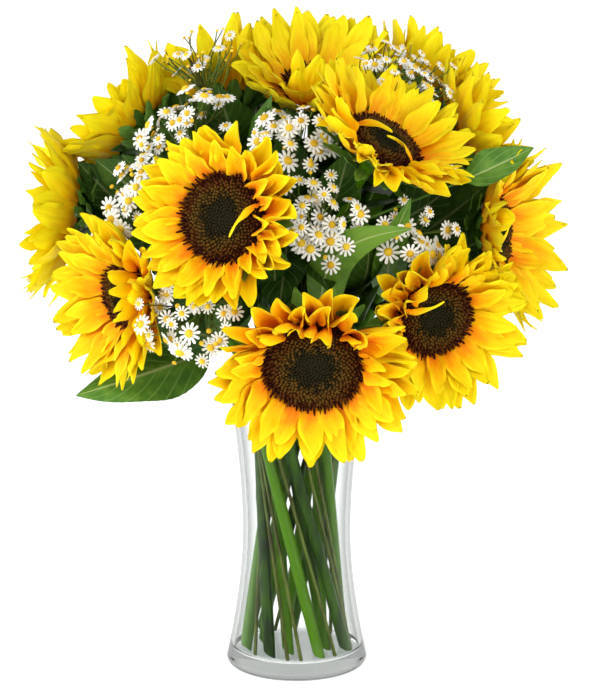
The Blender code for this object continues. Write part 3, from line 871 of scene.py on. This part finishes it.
def inner_leaf_piece(name, rng, start, tip, bow, lean, width, stalk, tones_and_painted_light, material):
    """One leaf from start to tip, bowed by a vector at its middle, with no CAD node."""
    fine = np.linspace(0, 1, LEAF_STEPS)[:, None]
    line = start + (tip - start) * fine + bow * np.sin(math.pi * fine)
    builder = Builder()
    sheet = leaf_sheet(rng, line, lean, width, stalk)
    blades(builder, sheet[None], LEAF_THICKNESS, np.array([rng.uniform(*tones_and_painted_light)]))
    return builder.piece(name, [material], ())


def make_fillers(material):
    """Smaller leaves round the bouquet's heart that close the gaps between its flowers; their dark
    colour, from the darkened finish and the dark end of the tones, is painted shade for the heart
    of the bouquet.

    They point outwards in the directions of a golden-angle spiral over a ball.
    """
    for number in range(FILLER_COUNT):
        rng = np.random.default_rng(800 + number)
        height = -0.35 + 1.3 * (number + 0.5) / FILLER_COUNT
        turn = number * GOLDEN_ANGLE
        flat = math.sqrt(1 - height * height)
        way = np.array((flat * math.cos(turn), flat * math.sin(turn), height))
        length = rng.uniform(0.070, 0.095)
        tip = BOUQUET_MIDDLE + way * (0.086 + 0.026 * max(height, 0)) * rng.uniform(0.88, 1.22)
        side, up = across(way)
        start = tip - way * length * 0.62 - up * length * rng.uniform(0.3, 0.7)
        spin = rng.uniform(-0.6, 0.6)
        lean = side * math.cos(spin) + up * math.sin(spin)
        width = length * rng.uniform(0.40, 0.52)
        # Their tones keep to the dark end of the leaf colours: painted shade for the heart of the
        # bouquet.
        inner_leaf_piece("painted_shade_filler_leaf_%02d" % (number + 1), rng, start, tip,
                         way * (-0.12 * length), lean, width, 0.12, (0.0, 0.35), material)


def make_screen_leaves(material):
    """Leaves set one by one between two flowers, in the darkened leaf finish: painted shade."""
    for number, (start, tip, width, turn) in enumerate(SCREEN_LEAVES):
        rng = np.random.default_rng(860 + number)
        start, tip = np.array(start) * MM, np.array(tip) * MM
        length = np.linalg.norm(tip - start)
        way = unit(tip - start)
        side, up = across(way)
        lean = side * math.cos(turn) + up * math.sin(turn)
        inner_leaf_piece("screen_leaf_%02d" % (number + 1), rng, start, tip,
                         np.cross(way, lean) * (0.12 * length), lean, width * MM, 0.10,
                         (0.2, 0.6), material)


# ------------------------------ feverfew


def ring(radius, level, angle):
    """Points at a radius and a level at each angle."""
    return np.stack((radius * np.cos(angle), radius * np.sin(angle), level + 0 * angle), axis=-1)


def daisy_rays(petals=11):
    """A thin ring of white rays: its rim runs in at each gap and out round each blunt tip."""
    a = round_steps(petals * 4)
    rim = np.tile((0.36, 0.90, 1.0, 0.90), petals)
    inner = np.full_like(rim, 0.16)
    level = np.tile((-0.10, -0.03, -0.05, -0.03), petals)
    half = 0.62 * rim + 0.05
    return np.stack((ring(inner, 0.08, a), ring(half, level * 0.4 + 0.10, a),
                     ring(rim, level, a), ring(half, level * 0.4 + 0.03, a),
                     ring(inner, -0.02, a)))


def button():
    """The domed yellow middle of a daisy, and on its own a bud."""
    a = round_steps(9)
    outline = ((0.18, -0.06), (0.34, 0.02), (0.37, 0.12), (0.31, 0.24), (0.17, 0.32), (0.04, 0.34))
    return np.stack([ring(r, z, a) for r, z in outline])


# Sprays with smaller flowers than the rest.
SMALL_SPRAYS = (7, 8)
BRANCH_STEPS = 9
# Each spray: flowers, buds, spread to the sides, up and towards the front in mm, shift in mm.
SPRAY_SPREADS = (
    (34, 8, (40, 30, 36), (8, -10, -8)),
    (26, 6, (28, 24, 30), (2, -8, 0)),
    (30, 6, (40, 20, 34), (0, -6, -6)),
    (36, 8, (36, 16, 34), (-6, 6, 10)),
    (20, 4, (38, 14, 26), (-16, -8, -4)),
    (28, 8, (34, 20, 34), (6, -12, 2)),
    (52, 26, (42, 32, 34), (6, -10, 6)),
    (12, 34, (34, 22, 26), (6, 2, 4)),
    (34, 8, (42, 16, 40), (0, 8, -4)),
)


def make_spray(number, stalk, ray, yolk):
    """Branches from the stalk's end to every daisy and bud of one spray."""
    name = "feverfew_spray_%d" % number
    rng = np.random.default_rng(900 + number)
    flowers, buds, spread, shift = SPRAY_SPREADS[number - 1]
    points = corners(name)
    foot = points[points[:, 2] < points[:, 2].min() + 2 * MM].mean(axis=0)
    tie = points[np.abs(points[:, 2] - TIE_HEIGHT) < 1.2 * MM].mean(axis=0)
    above = points[points[:, 2] > TIE_HEIGHT + 4 * MM]
    far = np.linalg.norm(above - tie, axis=1)
    crown = above[far > far.max() - 30 * MM].mean(axis=0)
    axis = unit(crown - BOUQUET_MIDDLE)
    neck = crown - axis * 40 * MM
    count = flowers + buds
    k = np.arange(count)
    disc = np.sqrt((rng.permutation(count) + 0.5) / count)
    angle = k * GOLDEN_ANGLE
    side, up = across(axis)
    flat = (side * (np.cos(angle) * disc)[:, None] + up * (np.sin(angle) * disc)[:, None])
    spot = crown + np.array(shift) * MM + flat * np.array(spread) * MM
    spot = spot + axis * (rng.normal(0, 6.0, count) * MM - 6 * MM * disc**2)[:, None]
    spot = spot + rng.normal(0, 2.0, (count, 3)) * MM
    way = unit(axis + flat * 0.6 + rng.normal(0, 0.34, (count, 3)) + np.array((0, -0.25, 0.12)))
    size = np.where(k < flowers, rng.uniform(5.0, 9.4, count), rng.uniform(4.0, 6.0, count)) * MM
    if number in SMALL_SPRAYS:
        size = size * 0.72
    builder = Builder()
    line = stem_line(foot, tie, neck, axis)
    tubes(builder, line[None], np.linspace(1.5, 1.1, len(line))[None] * MM, 8, np.array([0.4]))
    start = neck + axis * (rng.uniform(-14, 14, count) * MM)[:, None]
    back = spot - way * 0.6 * MM
    pull = np.linalg.norm(back - start, axis=1)[:, None]
    branch = hermite(start[:, None], (axis * pull)[:, None], back[:, None],
                     (way * pull)[:, None], BRANCH_STEPS)
    thick = np.linspace(0.6, 0.42, BRANCH_STEPS)[None] * MM
    thick = np.broadcast_to(thick, (count, BRANCH_STEPS))
    tubes(builder, branch, thick, 5, rng.uniform(0.2, 0.9, count))
    for template, chosen, slot, closed in (
            (daisy_rays(), k < flowers, 1, True), (button(), k < flowers, 2, False),
            (button(), k >= flowers, 2, False)):
        tone = rng.uniform(0, 1, chosen.sum())
        scatter(builder, template, spot[chosen], way[chosen], size[chosen], tone, rng, slot,
                closed=closed)
    return builder.piece(name + "_flowers", [stalk, ray, yolk], [name])


# ------------------------------ room, lights and camera

CAMERA_DISTANCE = 2.2
CAMERA_ELEVATION = math.radians(12.5)
CAMERA_TARGET = np.array((0.0026, 0.0, 0.2475))
METRES_PER_IMAGE_POINT = 0.00076
LONG_SIDE = 700
SENSOR = 36.0


def make_floor():
    """Plain white floor that the vase stands on."""
    s = Shader("white_floor", roughness=0.6, specular=0.2)
    s.main.inputs["Base Color"].default_value = (0.85, 0.85, 0.85, 1.0)
    s.main.inputs["Emission Color"].default_value = (1.0, 1.0, 1.0, 1.0)
    s.main.inputs["Emission Strength"].default_value = 0.55
    mesh = bpy.data.meshes.new("floor")
    reach, level = 6, -0.0002
    mesh.from_pydata([(-reach, -reach, level), (reach, -reach, level), (reach, reach, level),
                      (-reach, reach, level)], [], [(0, 1, 2, 3)])
    mesh.materials.append(s.material)
    floor = bpy.data.objects.new("floor", mesh)
    bpy.context.scene.collection.objects.link(floor)


def make_lamp(name, place, target, size, power):
    """A soft square lamp that faces a point."""
    data = bpy.data.lights.new(name, "AREA")
    data.size = size
    data.energy = power
    lamp = bpy.data.objects.new(name, data)
    lamp.location = place
    way = np.array(target) - np.array(place)
    lamp.rotation_euler = aim(way)
    bpy.context.scene.collection.objects.link(lamp)


def aim(way):
    """Euler turn that points -Z along a direction with +Y up."""
    return Vector(way).to_track_quat("-Z", "Y").to_euler()


def make_world():
    """Even studio light: white near the horizon and greyer overhead."""
    world = bpy.data.worlds.new("studio")
    world.use_nodes = True
    tree = world.node_tree
    shade = tree.nodes["Background"]
    shade.inputs["Strength"].default_value = 1.0
    way = tree.nodes.new("ShaderNodeTexCoord")
    split = tree.nodes.new("ShaderNodeSeparateXYZ")
    ramp = tree.nodes.new("ShaderNodeValToRGB")
    horizon, overhead = ramp.color_ramp.elements
    horizon.position = 0.12
    horizon.color = (1.0, 1.0, 1.0, 1.0)
    overhead.position = 0.60
    overhead.color = (0.56, 0.56, 0.57, 1.0)
    tree.links.new(way.outputs["Generated"], split.inputs[0])
    tree.links.new(split.outputs[2], ramp.inputs[0])
    tree.links.new(ramp.outputs[0], shade.inputs["Color"])
    bpy.context.scene.world = world
    bpy.context.scene.view_settings.view_transform = "Standard"


def make_camera():
    """A long lens a little above the vase, level with its front."""
    data = bpy.data.cameras.new("camera")
    data.sensor_width = SENSOR
    data.lens = CAMERA_DISTANCE / METRES_PER_IMAGE_POINT * SENSOR / LONG_SIDE
    camera = bpy.data.objects.new("camera", data)
    back = np.array((0.0, -math.cos(CAMERA_ELEVATION), math.sin(CAMERA_ELEVATION)))
    camera.location = CAMERA_TARGET + back * CAMERA_DISTANCE
    camera.rotation_euler = aim(-back)
    bpy.context.scene.collection.objects.link(camera)
    bpy.context.scene.camera = camera


WHITE_RAY = ((0.2, (0.80, 0.82, 0.74)), (0.6, (0.95, 0.95, 0.90)))
YELLOW_BUTTON = ((0.25, (0.62, 0.34, 0.01)), (0.6, (0.90, 0.62, 0.03)))


def main():
    """Materials first, then every piece, then the room."""
    petal = petal_material()
    floret = floret_material()
    stem = green_material("stem_green", (0.006, 0.021, 0.001), (0.064, 0.175, 0.002))
    bract = green_material("bract_green", (0.035, 0.10, 0.010), (0.16, 0.33, 0.05), (90, 90, 90))
    stalk = green_material("stalk_olive", (0.034, 0.026, 0.006), (0.16, 0.24, 0.035))
    leaf = leaf_material("leaf_blade", 1.0)
    # A darker copy of the leaf finish: painted shade for the leaves inside the bouquet.
    inner_leaf = leaf_material("leaf_blade_painted_shade", 0.42)
    ray = plain_material("daisy_white", WHITE_RAY, 0.6, 300.0)
    yolk = plain_material("daisy_yellow", YELLOW_BUTTON, 0.7, 500.0)
    make_vase(glass_material())
    for number in range(1, HEAD_COUNT + 1):
        head = Head(number)
        make_petals(head, petal)
        make_disk(head, floret)
        make_green(head, stem, bract)
    for number in range(1, SPRAY_COUNT + 1):
        make_spray(number, stalk, ray, yolk)
    for number, node in enumerate(sorted(LEAF_BOWS)):
        make_leaf(node, leaf, number)
    make_fillers(inner_leaf)
    make_screen_leaves(inner_leaf)
    make_floor()
    make_lamp("key_lamp", (-1.2, -1.8, 1.9), (0, 0, 0.3), 1.1, 15)
    make_lamp("left_lamp", (-2.3, -0.7, 1.0), (0, 0, 0.38), 1.2, 25)
    make_lamp("fill_lamp", (1.7, -1.9, 0.8), (0, 0, 0.38), 1.4, 18)
    make_world()
    make_camera()


main()
